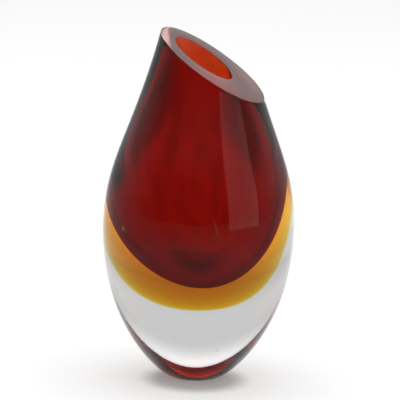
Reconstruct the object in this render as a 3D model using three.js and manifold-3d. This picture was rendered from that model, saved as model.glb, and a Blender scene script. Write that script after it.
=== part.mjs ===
// Heavy cased-glass vase: three gathers of blown glass, one inside the other,
// sawn off at a slant across the mouth and ground flat under the foot.
// Millimetres, +Z up. The origin is the middle of the flat foot.
import * as THREE from 'three'
import { mergeVertices } from 'three/addons/utils/BufferGeometryUtils.js'
import Module from 'manifold-3d'

// ---------------------------------------------------------------- outer form
const footRadius = 15            // flat disc that the vase stands on
const footRoll = 9.1             // how far the foot's edge runs out flat before it turns up
const bellyRadius = 65
const bellyHeight = 104
const bellyPullDown = 68.3       // how long the wall stays upright below the belly
const bellyPullUp = 48.6         // and above it
const shoulderRadius = 46.2      // pull point that draws the wall in to the neck
const shoulderHeight = 164.8
const throatRadius = 26          // the neck at the blank's top

// ------------------------------------------------------------- slanted mouth
const rimHeight = 220.8          // where the saw cut crosses the vase's axis
const rimSlope = 32.7            // degrees that the cut falls from level
const rimHeading = -17.2         // degrees from +X to the way that the cut falls
const blankSpare = 29.2          // extra neck above that, which the saw takes off

// ----------------------------------------- glass from the outside to the well
const bubbleHeight = 140         // where the three inner walls are widest
const neckHeight = 190           // pull point that draws them in to the neck

const clearBottom = 56.6         // clear glass between the foot and the amber
const clearWall = 19             // clear glass outside the amber, at the belly
const clearNeck = 20.2           // and at the neck's pull point
const clearThroat = 4            // and at the blank's top

const amberBottom = 13.7
const amberWall = 2.5
const amberNeck = 2
const amberThroat = 1

const rubyBottom = 6
const rubyWall = 4
const rubyNeck = 9
const rubyThroat = 2.2

// How full each wall is: the pull at its rounded bottom and up and down from its widest.
const amberPull = { bottom: 28, down: 66, up: 25 }
const rubyPull = { bottom: 20, down: 46, up: 25 }
const wellPull = { bottom: 18, down: 43, up: 28 }

// The bubble was not quite central when it was cased, so its middle wanders along X.
const amberSway = { bottom: -0.3, belly: -5.5, neck: -1 }
const rubySway = { bottom: 1.9, belly: -7.5, neck: -1 }

// --------------------------------------------------------------- shared fits
const seam = 0.3                 // gap between one gather and the next
const turns = 36                 // flats round the vase, a multiple of four
const steps = 11                 // straight runs along each curve of a wall

const wasm = await Module()
wasm.setup()

const blankHeight = rimHeight + blankSpare

// A wall's outline from its lowest point up to its widest and on to the blank's top.
function wallOutline({ start, startPull, widest, pullDown, pullUp, neck, throat }) {
  const lower = new THREE.CubicBezierCurve(
    start,
    new THREE.Vector2(start.x + startPull, start.y),
    new THREE.Vector2(widest.x, widest.y - pullDown),
    widest,
  )
  const upper = new THREE.CubicBezierCurve(
    widest,
    new THREE.Vector2(widest.x, widest.y + pullUp),
    neck,
    new THREE.Vector2(throat, blankHeight),
  )
  return [...lower.getPoints(steps), ...upper.getPoints(steps).slice(1)]
}

// An inner wall: rounded at the bottom, on the axis.
function innerOutline(bottom, radius, neckRadius, throat, pull) {
  return wallOutline({
    start: new THREE.Vector2(0, bottom),
    startPull: pull.bottom,
    widest: new THREE.Vector2(radius, bubbleHeight),
    pullDown: pull.down,
    pullUp: pull.up,
    neck: new THREE.Vector2(neckRadius, neckHeight),
    throat,
  })
}

function toSolid(geometry) {
  geometry.deleteAttribute('normal')
  geometry.deleteAttribute('uv')
  const merged = mergeVertices(geometry, 1e-5)
  return new wasm.Manifold(new wasm.Mesh({
    numProp: 3,
    vertProperties: new Float32Array(merged.attributes.position.array),
    triVerts: new Uint32Array(merged.index.array),
  }))
}

function toGeometry(solid) {
  const { vertProperties, triVerts } = solid.getMesh()
  const geometry = new THREE.BufferGeometry()
  geometry.setAttribute('position', new THREE.BufferAttribute(vertProperties, 3))
  geometry.setIndex(new THREE.BufferAttribute(triVerts, 1))
  geometry.computeVertexNormals()
  return geometry
}

// The space inside a wall, turned about the vase's axis, with its middle swayed along X.
function turned(outline, sway) {
  const bottom = outline[0].y
  const ends = [new THREE.Vector2(0, bottom), ...outline, new THREE.Vector2(0, blankHeight)]
  const profile = ends.filter((point, i) => i === 0 || !point.equals(ends[i - 1]))
  const geometry = new THREE.LatheGeometry(profile, turns)
  geometry.rotateX(Math.PI / 2)
  const middle = new THREE.CubicBezierCurve(
    new THREE.Vector2(sway.bottom, 0),
    new THREE.Vector2(sway.belly, 0),
    new THREE.Vector2(sway.neck, 0),
    new THREE.Vector2(0, 0),
  )
  const position = geometry.attributes.position
  for (let i = 0; i < position.count; i += 1) {
    const along = (position.getZ(i) - bottom) / (blankHeight - bottom)
    position.setX(i, position.getX(i) + middle.getPoint(along).x)
  }
  return toSolid(geometry)
}

// The same outline moved inwards by a gap, square to the wall.
function movedIn(outline, gap) {
  return outline.map((point, i) => {
    if (point.x === 0) return new THREE.Vector2(0, point.y + gap)
    const before = outline[i - 1]
    const after = outline[Math.min(i + 1, outline.length - 1)]
    const along = after.clone().sub(before).normalize()
    return new THREE.Vector2(point.x - along.y * gap, point.y + along.x * gap)
  })
}

// Everything above the slanted cut, as one block.
function sawnOff() {
  const side = 4 * blankHeight
  const block = new THREE.BoxGeometry(side, side, side)
  block.translate(0, 0, side / 2)
  block.rotateY(THREE.MathUtils.degToRad(rimSlope))
  block.rotateZ(THREE.MathUtils.degToRad(rimHeading))
  block.translate(0, 0, rimHeight)
  return toSolid(block)
}

// ------------------------------------------------------------------ the walls
const clearOutline = wallOutline({
  start: new THREE.Vector2(footRadius, 0),
  startPull: footRoll,
  widest: new THREE.Vector2(bellyRadius, bellyHeight),
  pullDown: bellyPullDown,
  pullUp: bellyPullUp,
  neck: new THREE.Vector2(shoulderRadius, shoulderHeight),
  throat: throatRadius,
})

const amberRadius = bellyRadius - clearWall
const amberNeckRadius = shoulderRadius - clearNeck
const amberThroatRadius = throatRadius - clearThroat
const amberOutline = innerOutline(clearBottom, amberRadius, amberNeckRadius, amberThroatRadius, amberPull)

const rubyRadius = amberRadius - amberWall
const rubyNeckRadius = amberNeckRadius - amberNeck
const rubyThroatRadius = amberThroatRadius - amberThroat
const rubyBase = clearBottom + amberBottom
const rubyOutline = innerOutline(rubyBase, rubyRadius, rubyNeckRadius, rubyThroatRadius, rubyPull)

const wellRadius = rubyRadius - rubyWall
const wellNeckRadius = rubyNeckRadius - rubyNeck
const wellThroatRadius = rubyThroatRadius - rubyThroat
const wellBase = rubyBase + rubyBottom
const wellOutline = innerOutline(wellBase, wellRadius, wellNeckRadius, wellThroatRadius, wellPull)

// ----------------------------------------------------------------- the pieces
const upright = { bottom: 0, belly: 0, neck: 0 }
const aboveCut = sawnOff()
const vase = new THREE.Group()

// One gather: the space inside its outer wall, less the space inside its inner wall.
function addGather(name, outer, inner, colour, opacity) {
  const solid = outer.subtract(inner).subtract(aboveCut)
  const finish = { color: colour, roughness: 0.04, metalness: 0, transparent: true, opacity }
  const mesh = new THREE.Mesh(toGeometry(solid), new THREE.MeshStandardMaterial(finish))
  mesh.name = name
  vase.add(mesh)
}

const clearBlank = turned(clearOutline, upright)
const amberBlank = turned(amberOutline, amberSway)
const rubyBlank = turned(rubyOutline, rubySway)
const amberInSeam = turned(movedIn(amberOutline, seam), amberSway)
const rubyInSeam = turned(movedIn(rubyOutline, seam), rubySway)
const wellSpace = turned(wellOutline, rubySway)

addGather('clear_casing', clearBlank, amberBlank, 0xdfe4e2, 0.3)
addGather('amber_casing', amberInSeam, rubyBlank, 0xd98a10, 0.5)
addGather('ruby_bubble', rubyInSeam, wellSpace, 0x8e0d0a, 0.7)

export default vase
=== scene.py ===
# A heavy hand-blown vase: a ruby bubble in an amber gather, cased in thick clear glass,
# sawn off at a slant and polished. Each gather is drawn up ring by ring, as on the pipe.
import math
import bpy
from mathutils import Matrix, Vector


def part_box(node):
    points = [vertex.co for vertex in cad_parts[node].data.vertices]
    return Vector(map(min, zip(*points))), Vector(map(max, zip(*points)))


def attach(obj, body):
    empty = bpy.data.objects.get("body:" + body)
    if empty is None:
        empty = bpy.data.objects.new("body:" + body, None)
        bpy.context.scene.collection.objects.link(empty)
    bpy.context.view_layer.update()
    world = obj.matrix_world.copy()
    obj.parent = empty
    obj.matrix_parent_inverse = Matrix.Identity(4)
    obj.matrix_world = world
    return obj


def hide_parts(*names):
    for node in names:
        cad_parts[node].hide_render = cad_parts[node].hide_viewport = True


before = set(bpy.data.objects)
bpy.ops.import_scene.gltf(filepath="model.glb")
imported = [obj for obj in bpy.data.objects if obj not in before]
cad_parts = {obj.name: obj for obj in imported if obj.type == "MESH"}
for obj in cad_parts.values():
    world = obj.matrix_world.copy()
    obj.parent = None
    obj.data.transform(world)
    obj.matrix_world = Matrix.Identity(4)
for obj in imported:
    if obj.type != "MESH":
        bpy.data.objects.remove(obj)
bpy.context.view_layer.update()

MM = 0.001

# ------------------------------------------------------------------ sizes, in metres
casing_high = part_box("clear_casing")[1]
amber_low, amber_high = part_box("amber_casing")
ruby_low, ruby_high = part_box("ruby_bubble")

SEAM = 0.3 * MM                        # gap that the frame leaves between two gathers
FILM = 0.06 * MM                       # clear film left between two colours, too thin to see

FOOT_RADIUS = 15 * MM
FOOT_ROLL = 9.1 * MM
BELLY_RADIUS = casing_high.x
BELLY_HEIGHT = 104 * MM
BELLY_PULL_DOWN = 68.3 * MM            # how long the wall stays upright below the belly
BELLY_PULL_UP = 48.6 * MM              # and above it
SHOULDER = Vector((46.2, 164.8)) * MM  # draws the wall in to the neck
THROAT_RADIUS = 26 * MM

RIM_HEIGHT = 220.8 * MM                # where the cut crosses the axis
RIM_SLOPE = math.radians(32.7)
RIM_HEADING = math.radians(-17.2)
BLANK_HEIGHT = 250 * MM                # each gather is made to this height, then sawn
RIM_NORMAL = Vector((
    math.sin(RIM_SLOPE) * math.cos(RIM_HEADING),
    math.sin(RIM_SLOPE) * math.sin(RIM_HEADING),
    math.cos(RIM_SLOPE),
))
ARRIS = 0.45 * MM                      # rounding ground onto the rim's two edges
SAW_SNAP = 0.001 * MM                  # a point this near the cut counts as on it
MERGE = 0.002 * MM                     # points nearer than this become one
GROUND_DEPTH = 0.02 * MM               # how deep the rim's and the foot's grinding reaches

BUBBLE_HEIGHT = 140 * MM               # where the inner walls are widest
NECK_HEIGHT = 190 * MM
AMBER_BASE = amber_low.z - SEAM
AMBER_RADIUS = (amber_high.y - amber_low.y) / 2 + SEAM
RUBY_BASE = ruby_low.z - SEAM
RUBY_RADIUS = (ruby_high.y - ruby_low.y) / 2 + SEAM
WELL_BASE = RUBY_BASE + 6 * MM         # the ruby's thickness under the well
WELL_RADIUS = RUBY_RADIUS - 4 * MM     # and beside it

SMOOTH_BELOW = math.radians(35)        # edges sharper than this stay crisp
TURNS = 144                            # faces round each wall
STEPS = 44                             # rings along each of a wall's two curves


# ------------------------------------------------------------------ outlines
def bezier(a, b, c, d):
    """STEPS + 1 points along one curve of a wall."""
    points = []
    for i in range(STEPS + 1):
        t = i / STEPS
        s = 1 - t
        points.append(a * s**3 + b * 3 * s * s * t + c * 3 * s * t * t + d * t**3)
    return points


def outline(start, roll, widest, down, up, neck, throat):
    """(radius, height) of a wall, from its lowest ring up past its widest to the blank's top."""
    lower = bezier(start, start + Vector((roll, 0)), widest - Vector((0, down)), widest)
    upper = bezier(widest, widest + Vector((0, up)), neck, Vector((throat, BLANK_HEIGHT)))
    return lower + upper[1:]


def moved_in(points, gap):
    """The same outline, moved towards the axis square to the wall."""
    moved = []
    for i, point in enumerate(points):
        before = points[max(i - 1, 0)]
        after = points[min(i + 1, len(points) - 1)]
        along = (after - before).normalized()
        shifted = point + Vector((-along.y, along.x)) * gap
        moved.append(Vector((0, point.y + gap)) if point.x == 0 else shifted)
    return moved


def sway(low, belly, neck):
    """How far a bubble's middle wanders along X on its way up, as a function of height."""
    def offset(height, base):
        t = (height - base) / (BLANK_HEIGHT - base)
        s = 1 - t
        return (low * s**3 + belly * 3 * s * s * t + neck * 3 * s * t * t) * MM
    return offset


def inner_outline(base, radius, fullness, neck_and_throat):
    """An inner wall, rounded at the bottom, on the axis.

    The fullness is its pull out from the bottom, then down and up from its widest, in mm.
    """
    roll, down, up = (pull * MM for pull in fullness)
    neck, throat = (size * MM for size in neck_and_throat)
    widest = Vector((radius, BUBBLE_HEIGHT))
    return outline(Vector((0, base)), roll, widest, down, up, Vector((neck, NECK_HEIGHT)), throat)


clear_outline = outline(
    Vector((FOOT_RADIUS, 0)), FOOT_ROLL, Vector((BELLY_RADIUS, BELLY_HEIGHT)),
    BELLY_PULL_DOWN, BELLY_PULL_UP, SHOULDER, THROAT_RADIUS)
amber_outline = inner_outline(AMBER_BASE, AMBER_RADIUS, (28, 66, 25), (26, 22))
ruby_outline = inner_outline(RUBY_BASE, RUBY_RADIUS, (20, 46, 25), (24, 21))
well_outline = inner_outline(WELL_BASE, WELL_RADIUS, (18, 43, 28), (15, 18.8))

upright = sway(0, 0, 0)
amber_sway = sway(-0.3, -5.5, -1)
ruby_sway = sway(1.9, -7.5, -1)


# ------------------------------------------------------------------ modelling
def deselect():
    if bpy.context.object and bpy.context.object.mode != "OBJECT":
        bpy.ops.object.mode_set(mode="OBJECT")
    bpy.ops.object.select_all(action="DESELECT")


def draw_up(name, points, offset, cap):
    """A wall drawn up from its lowest ring, one extrusion for each ring above it."""
    deselect()
    base = points[0].y
    rings = [p for p in points if p.x > 0]
    first = rings[0]
    centre = Vector((offset(first.y, base), 0, first.y))
    bpy.ops.mesh.primitive_circle_add(vertices=TURNS, radius=first.x, location=centre)
    wall = bpy.context.object
    wall.name = name
    bpy.ops.object.transform_apply(location=True, rotation=False, scale=False)
    bpy.ops.object.mode_set(mode="EDIT")
    bpy.ops.mesh.select_mode(type="EDGE")
    bpy.ops.mesh.select_all(action="SELECT")
    for ring, above in zip(rings, rings[1:]):
        rise = Vector((offset(above.y, base) - centre.x, 0, above.y - centre.z))
        centre = centre + rise
        bpy.ops.mesh.extrude_region_move(TRANSFORM_OT_translate={"value": rise})
        grow = above.x / ring.x
        bpy.ops.transform.resize(value=(grow, grow, 1), center_override=centre)
    close_bottom(wall, cap, Vector((offset(base, base), 0, base)))
    return wall


def close_bottom(wall, cap, tip):
    """Fills the lowest ring: a flat disc, or a fan pulled down to the tip."""
    bpy.ops.object.mode_set(mode="OBJECT")
    lowest = min(v.co.z for v in wall.data.vertices)
    for vertex in wall.data.vertices:
        vertex.select = vertex.co.z < lowest + 1e-6
    for edge in wall.data.edges:
        edge.select = all(wall.data.vertices[v].select for v in edge.vertices)
    bpy.ops.object.mode_set(mode="EDIT")
    bpy.ops.mesh.edge_face_add()
    if cap == "tip":
        bpy.ops.mesh.select_mode(type="FACE")
        bpy.ops.mesh.poke()
        bpy.ops.object.mode_set(mode="OBJECT")
        pole = min(wall.data.vertices, key=lambda v: (v.co - tip).length)
        pole.co = tip
        bpy.ops.object.mode_set(mode="EDIT")
    bpy.ops.object.mode_set(mode="OBJECT")


def saw(wall, drop=0.0, arris=0.0):
    """Cuts a wall off along the slanted rim, then rounds its edge over by the arris.

    A positive arris leans outwards, a negative one leans inwards.
    """
    deselect()
    wall.select_set(True)
    bpy.context.view_layer.objects.active = wall
    bpy.ops.object.mode_set(mode="EDIT")
    bpy.ops.mesh.select_mode(type="EDGE")
    bpy.ops.mesh.select_all(action="SELECT")
    through = Vector((0, 0, RIM_HEIGHT)) - RIM_NORMAL * (drop + abs(arris))
    bpy.ops.mesh.bisect(plane_co=through, plane_no=RIM_NORMAL, clear_outer=True, threshold=SAW_SNAP)
    select_open_edges()
    middle, radius = open_edge_middle(wall)
    if arris:
        round_over(middle, radius, arris)
    bpy.ops.object.mode_set(mode="OBJECT")


def open_edge_middle(wall):
    """The middle and mean radius of the selected open edge."""
    bpy.ops.object.mode_set(mode="OBJECT")
    edge = [v.co.copy() for v in wall.data.vertices if v.select]
    bpy.ops.object.mode_set(mode="EDIT")
    middle = Vector([(min(co[i] for co in edge) + max(co[i] for co in edge)) / 2 for i in range(3)])
    radius = sum((co - middle).length for co in edge) / len(edge)
    return middle, radius


def round_over(middle, radius, arris):
    """Three short extrusions round the quarter turn between a wall and the sawn face."""
    lean, rise = 0.0, 0.0
    for turn in (30, 60, 90):
        angle = math.radians(turn)
        new_lean = arris * (1 - math.cos(angle))
        new_rise = abs(arris) * math.sin(angle)
        up = RIM_NORMAL * (new_rise - rise)
        middle = middle + up
        grow = (radius + new_lean) / (radius + lean)
        bpy.ops.mesh.extrude_region_move(TRANSFORM_OT_translate={"value": up})
        bpy.ops.transform.resize(value=(grow, grow, grow), center_override=middle)
        lean, rise = new_lean, new_rise


def join_at_rim(outer, inner):
    """Joins a gather's outer and inner walls by the sawn face between their open edges."""
    deselect()
    for wall in (inner, outer):
        wall.select_set(True)
    bpy.context.view_layer.objects.active = outer
    bpy.ops.object.join()
    bpy.ops.object.mode_set(mode="EDIT")
    bpy.ops.mesh.select_mode(type="EDGE")
    bpy.ops.mesh.select_all(action="SELECT")
    bpy.ops.mesh.remove_doubles(threshold=MERGE)
    select_open_edges()
    bpy.ops.mesh.fill(use_beauty=True)
    bpy.ops.mesh.select_all(action="SELECT")
    bpy.ops.mesh.normals_make_consistent(inside=False)
    bpy.ops.object.mode_set(mode="OBJECT")
    return outer


def select_open_edges():
    bpy.ops.mesh.select_all(action="DESELECT")
    bpy.ops.mesh.select_non_manifold(
        use_wire=False, use_multi_face=False, use_non_contiguous=False, use_verts=False)


def smooth(piece):
    deselect()
    piece.select_set(True)
    bpy.context.view_layer.objects.active = piece
    bpy.ops.object.shade_smooth_by_angle(angle=SMOOTH_BELOW)


# ------------------------------------------------------------------ materials
def srgb(code):
    """A hex colour as linear red, green, blue and one."""
    channels = [int(code[i:i + 2], 16) / 255 for i in (1, 3, 5)]
    return [c / 12.92 if c <= 0.04045 else ((c + 0.055) / 1.055) ** 2.4 for c in channels] + [1]


def add(tree, kind, settings=None, links=None):
    """A node with its sockets set, and linked from other nodes' outputs."""
    node = tree.nodes.new(kind)
    for key, value in (settings or {}).items():
        if isinstance(key, str) and hasattr(node, key):
            setattr(node, key, value)
        else:
            node.inputs[key].default_value = value
    for key, source in (links or {}).items():
        tree.links.new(source, node.inputs[key])
    return node


def new_material(name):
    material = bpy.data.materials.new(name)
    material.use_nodes = True
    material.node_tree.nodes.clear()
    return material


# Clear soda-lime glass: colourless, with a fire-polished skin. The eye sees deep refraction and
# faint waves that run up the wall, from a stretched noise bumping the skin by 0.02 mm. The rim
# and the foot's disc are ground: a fine grit varies their roughness, and they scatter a little
# light. The rim's pink is a painted glow: the ruby's light under it, painted into the rim's colour.
def soda_lime_glass():
    material = new_material("soda_lime_glass")
    tree = material.node_tree
    place = add(tree, "ShaderNodeTexCoord").outputs["Object"]

    drawn = add(tree, "ShaderNodeMapping", {"Scale": (1, 1, 0.3)}, {0: place})
    waves = add(tree, "ShaderNodeTexNoise", {"Scale": 1 / (14 * MM), "Detail": 1.0}, {0: drawn.outputs[0]})
    skin = add(tree, "ShaderNodeBump", {"Strength": 1.0, "Distance": 0.02 * MM},
               {"Height": waves.outputs[0]})

    up_the_cut = add(tree, "ShaderNodeVectorMath", {"operation": "DOT_PRODUCT", 1: RIM_NORMAL}, {0: place})
    rim_level = RIM_HEIGHT * RIM_NORMAL.z
    on_rim = add(tree, "ShaderNodeMath", {"operation": "GREATER_THAN", 1: rim_level - GROUND_DEPTH},
                 {0: up_the_cut.outputs["Value"]})
    height = add(tree, "ShaderNodeSeparateXYZ", links={0: place}).outputs["Z"]
    on_foot = add(tree, "ShaderNodeMath", {"operation": "LESS_THAN", 1: GROUND_DEPTH}, {0: height})
    ground = add(tree, "ShaderNodeMath", {"operation": "MAXIMUM"},
                 {0: on_rim.outputs[0], 1: on_foot.outputs[0]})
    grit = add(tree, "ShaderNodeTexNoise", {"Scale": 1 / (0.6 * MM), "Detail": 1.0}, {0: place})
    satin = add(tree, "ShaderNodeMapRange", {"To Min": 0.27, "To Max": 0.31}, {0: grit.outputs[0]})
    rough = add(tree, "ShaderNodeMath", {"operation": "MULTIPLY"},
                {0: ground.outputs[0], 1: satin.outputs[0]})

    # Painted glow: the rim's colour is painted pink, standing in for the ruby's light under the ground
    # face.
    painted_ruby_glow = add(tree, "ShaderNodeMix", {"data_type": "RGBA", "A": srgb("#ffffff"), "B": srgb("#e8b8b6")},
                {"Factor": on_rim.outputs[0]})
    through = add(tree, "ShaderNodeMapRange", {"To Min": 1.0, "To Max": 0.87}, {0: ground.outputs[0]})

    shader = add(tree, "ShaderNodeBsdfPrincipled", {
        "IOR": 1.5, "Specular Tint": (0.3, 0.3, 0.3, 1),
    }, {"Base Color": painted_ruby_glow.outputs["Result"], "Roughness": rough.outputs[0],
        "Transmission Weight": through.outputs[0], "Normal": skin.outputs[0]})
    add(tree, "ShaderNodeOutputMaterial", links={"Surface": shader.outputs[0]})
    return material


# Coloured glass fused inside the clear. It is as dense as the clear, so it bends no light where
# they meet and only takes light away: some at its outer skin, where streaks drawn up the wall
# run from pale to deep, and the rest through its depth, where each metre takes the strength
# times one less the body's colour.
def coloured_glass(name, pale, deep, streak, body, strength):
    material = new_material(name)
    tree = material.node_tree
    place = add(tree, "ShaderNodeTexCoord").outputs["Object"]
    drawn = add(tree, "ShaderNodeMapping", {"Scale": (1, 1, 0.08)}, {0: place})
    streaks = add(tree, "ShaderNodeTexNoise", {"Scale": 1 / streak, "Detail": 2.0}, {0: drawn.outputs[0]})
    ramp = add(tree, "ShaderNodeValToRGB", links={0: streaks.outputs[0]})
    ramp.color_ramp.elements[0].position = 0.35
    ramp.color_ramp.elements[0].color = srgb(deep)
    ramp.color_ramp.elements[1].position = 0.65
    ramp.color_ramp.elements[1].color = srgb(pale)
    flashed = add(tree, "ShaderNodeAttribute", {"attribute_name": "flashed"})
    skin = add(tree, "ShaderNodeMix", {"data_type": "RGBA", "A": srgb("#ffffff")},
               {"Factor": flashed.outputs["Fac"], "B": ramp.outputs[0]})
    shader = add(tree, "ShaderNodeBsdfPrincipled", {
        "Roughness": 0.0, "IOR": 1.0, "Transmission Weight": 1.0}, {"Base Color": skin.outputs["Result"]})
    depth = add(tree, "ShaderNodeVolumeAbsorption", {"Color": body, "Density": strength})
    add(tree, "ShaderNodeOutputMaterial", links={"Surface": shader.outputs[0], "Volume": depth.outputs[0]})
    return material


def dress(piece, material, node):
    piece.data.materials.clear()
    piece.data.materials.append(material)
    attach(piece, "root")
    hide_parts(node)


# ------------------------------------------------------------------ the pieces
def make_clear():
    body = draw_up("clear_glass", clear_outline, upright, "disc")
    well = draw_up("well_wall", well_outline, ruby_sway, "tip")
    saw(body, arris=-ARRIS)
    saw(well, arris=ARRIS)
    return join_at_rim(body, well)


def make_gather(name, outer_points, outer_sway, inner_points, inner_sway, arris=0.0):
    outer = draw_up(name, moved_in(outer_points, FILM), outer_sway, "tip")
    inner = draw_up(name + "_inside", moved_in(inner_points, -FILM), inner_sway, "tip")
    saw(outer, FILM)
    saw(inner, FILM, arris)
    flash(outer)
    return join_at_rim(outer, inner)


def flash(wall):
    """Marks a gather's outer wall, whose skin is the deepest in colour."""
    mark = wall.data.attributes.new("flashed", "FLOAT", "POINT")
    for point in mark.data:
        point.value = 1.0


# Bubbles caught in the clear glass: middle, radius and half length in mm, then the lean in
# degrees along X and along Y.
SEEDS = (
    ((-48, -34.6, 109.9), 1.6, 1.8, 0, 0),
    ((10.2, -59.5, 120), 0.35, 14, 17, -4),
    ((-30.8, -48.7, 126.7), 0.3, 0.45, 5, 0),
    ((40.5, -39.1, 90.8), 0.35, 0.5, -10, 0),
    ((-8.6, -52.8, 69.6), 0.3, 0.4, 0, 0),
    ((12, -20, 30), 0.45, 0.6, 0, 0),
    ((-18, 10, 42), 0.4, 0.5, 0, 0),
    ((25, 15, 24), 0.3, 0.4, 0, 0),
)


def trap_seed(glass, middle, radius, half_length, lean_x, lean_y):
    """A small round or drawn-out bubble inside the clear glass, its skin facing into the air."""
    deselect()
    middle = Vector(middle) * MM
    bpy.ops.mesh.primitive_uv_sphere_add(segments=24, ring_count=16, radius=radius * MM, location=middle)
    seed = bpy.context.object
    bpy.ops.object.transform_apply(location=True, rotation=False, scale=False)
    bpy.ops.object.mode_set(mode="EDIT")
    bpy.ops.mesh.select_all(action="SELECT")
    bpy.ops.transform.resize(value=(1, 1, half_length / radius), center_override=middle)
    bpy.ops.transform.rotate(value=math.radians(lean_x), orient_axis="Y", center_override=middle)
    bpy.ops.transform.rotate(value=math.radians(lean_y), orient_axis="X", center_override=middle)
    bpy.ops.mesh.normals_make_consistent(inside=True)
    bpy.ops.object.mode_set(mode="OBJECT")
    glass.select_set(True)
    bpy.context.view_layer.objects.active = glass
    bpy.ops.object.join()


clear = make_clear()
amber = make_gather("amber_glass", amber_outline, amber_sway, ruby_outline, ruby_sway)
ruby = make_gather("ruby_glass", ruby_outline, ruby_sway, well_outline, ruby_sway, ARRIS)
for seed in SEEDS:
    trap_seed(clear, *seed)
for piece in (clear, amber, ruby):
    smooth(piece)

# Iron amber lets through red and most green but little blue; ruby lets through red alone.
amber_look = coloured_glass("amber_glass", "#fff6d2", "#fff2c2", 6 * MM, (0.97, 0.85, 0.0, 1), 160.0)
ruby_look = coloured_glass("ruby_glass", "#8e1004", "#760a02", 9 * MM, (0.86, 0.4, 0.0, 1), 200.0)
dress(clear, soda_lime_glass(), "clear_casing")
dress(amber, amber_look, "amber_casing")
dress(ruby, ruby_look, "ruby_bubble")


# ------------------------------------------------------------------ the studio
def make_floor():
    deselect()
    bpy.ops.mesh.primitive_plane_add(size=8, location=(0, 0, -0.2 * MM))
    floor = bpy.context.object
    floor.name = "floor"
    material = new_material("opal_acrylic_sheet")
    tree = material.node_tree
    # Painted pool of light: the sheet glows by emission in its middle, and the glow fades out to every
    # side.
    place = add(tree, "ShaderNodeTexCoord").outputs["Object"]
    split = add(tree, "ShaderNodeSeparateXYZ", links={0: place})
    sideways = add(tree, "ShaderNodeMath", {"operation": "ABSOLUTE"}, {0: split.outputs["X"]})
    from_front = add(tree, "ShaderNodeMath", {"operation": "SUBTRACT", 1: 0.8}, {0: split.outputs["Y"]})
    lengthways = add(tree, "ShaderNodeMath", {"operation": "ABSOLUTE"}, {0: from_front.outputs[0]})
    strips = []
    for distance, full, dark in ((sideways, 0.2, 0.55), (lengthways, 1.0, 1.8)):
        strips.append(add(tree, "ShaderNodeMapRange", {
            "interpolation_type": "SMOOTHSTEP", "From Min": full, "From Max": dark,
            "To Min": 1.0, "To Max": 0.0}, {0: distance.outputs[0]}).outputs[0])
    painted_light_pool = add(tree, "ShaderNodeMath", {"operation": "MULTIPLY"}, {0: strips[0], 1: strips[1]})
    # Painted shadow: the sheet's glow is dimmed close under the vase's foot.
    from_foot = add(tree, "ShaderNodeVectorMath", {"operation": "DISTANCE", 1: (0, -0.01, 0)}, {0: place})
    painted_foot_shadow = add(tree, "ShaderNodeMapRange", {
        "interpolation_type": "SMOOTHSTEP", "From Min": 0.022, "From Max": 0.042,
        "To Min": 0.2, "To Max": 1.0}, {0: from_foot.outputs["Value"]})
    painted_light_pool = add(tree, "ShaderNodeMath", {"operation": "MULTIPLY"},
                {0: painted_light_pool.outputs[0], 1: painted_foot_shadow.outputs[0]})
    # The sheet's glow is painted light: its emission strength comes from the painted pool of light and the
    # painted shadow.
    painted_floor_glow = add(tree, "ShaderNodeMapRange", {"To Min": 0.02, "To Max": 0.45}, {0: painted_light_pool.outputs[0]})
    shader = add(tree, "ShaderNodeBsdfPrincipled", {
        "Base Color": srgb("#b8b8b8"), "Roughness": 0.9, "Specular IOR Level": 0.0,
        "Emission Color": (1, 1, 1, 1)}, {"Emission Strength": painted_floor_glow.outputs[0]})
    add(tree, "ShaderNodeOutputMaterial", links={"Surface": shader.outputs[0]})
    floor.data.materials.append(material)


def area_light(name, place, aim, width, height, radiance):
    deselect()
    bpy.ops.object.light_add(type="AREA", location=place)
    lamp = bpy.context.object
    lamp.name = name
    lamp.data.shape = "RECTANGLE"
    lamp.data.size = width
    lamp.data.size_y = height
    lamp.data.energy = radiance * math.pi * width * height
    lamp.rotation_euler = (Vector(aim) - Vector(place)).to_track_quat("-Z", "Y").to_euler()


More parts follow.
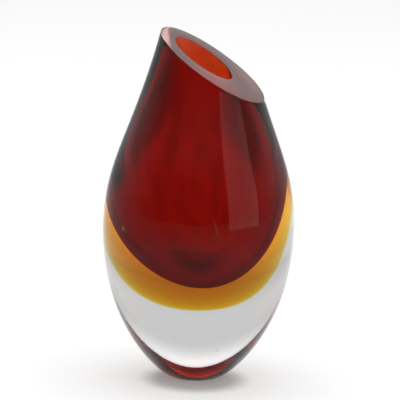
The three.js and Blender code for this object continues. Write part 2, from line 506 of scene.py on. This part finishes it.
# A grey room: dim behind the camera, a pale wall behind the vase and a white ceiling.
def make_world():
    world = bpy.data.worlds.new("studio")
    bpy.context.scene.world = world
    world.use_nodes = True
    tree = world.node_tree
    tree.nodes.clear()
    way = add(tree, "ShaderNodeTexCoord")
    split = add(tree, "ShaderNodeSeparateXYZ", links={0: way.outputs["Generated"]})
    walls = add(tree, "ShaderNodeMapRange", {
        "interpolation_type": "SMOOTHSTEP", "From Min": -0.7, "From Max": 0.2,
        "To Min": 0.2, "To Max": 0.58}, {0: split.outputs["Y"]})
    ceiling = add(tree, "ShaderNodeMapRange", {
        "interpolation_type": "SMOOTHSTEP", "From Min": 0.3, "From Max": 0.7,
        "To Min": 0.0, "To Max": 0.6}, {0: split.outputs["Z"]})
    skirting = add(tree, "ShaderNodeMapRange", {
        "interpolation_type": "SMOOTHSTEP", "From Min": 0.0, "From Max": 0.14,
        "To Min": 0.82, "To Max": 1.0}, {0: split.outputs["Z"]})
    lower = add(tree, "ShaderNodeMath", {"operation": "MULTIPLY"},
                {0: walls.outputs[0], 1: skirting.outputs[0]})
    light = add(tree, "ShaderNodeMath", {"operation": "ADD"}, {0: lower.outputs[0], 1: ceiling.outputs[0]})
    room = add(tree, "ShaderNodeBackground", {"Color": (1, 1, 1, 1)}, {"Strength": light.outputs[0]})
    add(tree, "ShaderNodeOutputWorld", links={0: room.outputs[0]})


def make_camera():
    deselect()
    distance = 2.2344
    raised = math.radians(12)
    aim = Vector((0.0005, 0, 0.1227))
    place = aim + Vector((0, -math.cos(raised), math.sin(raised))) * distance
    bpy.ops.object.camera_add(location=place)
    camera = bpy.context.object
    look = (aim - place).to_track_quat("-Z", "Y").to_matrix().to_4x4()
    look = look @ Matrix.Rotation(math.radians(1.585), 4, "Z")
    camera.rotation_euler = look.to_euler()
    camera.data.lens = 296.5
    camera.data.sensor_width = 36
    camera.data.clip_start = 0.01
    bpy.context.scene.camera = camera


make_camera()
make_floor()
make_world()
area_light("overhead_softbox", (0, 0.3, 1.6), (0, 0.1, 0), 1.6, 1.6, 1.6)
area_light("right_panel", (1.1, -0.75, 0.35), (0, 0, 0.15), 1.0, 1.2, 1.2)

scene = bpy.context.scene
scene.view_settings.view_transform = "Standard"
scene.cycles.max_bounces = 48
scene.cycles.transmission_bounces = 48
scene.cycles.transparent_max_bounces = 48
scene.cycles.glossy_bounces = 16
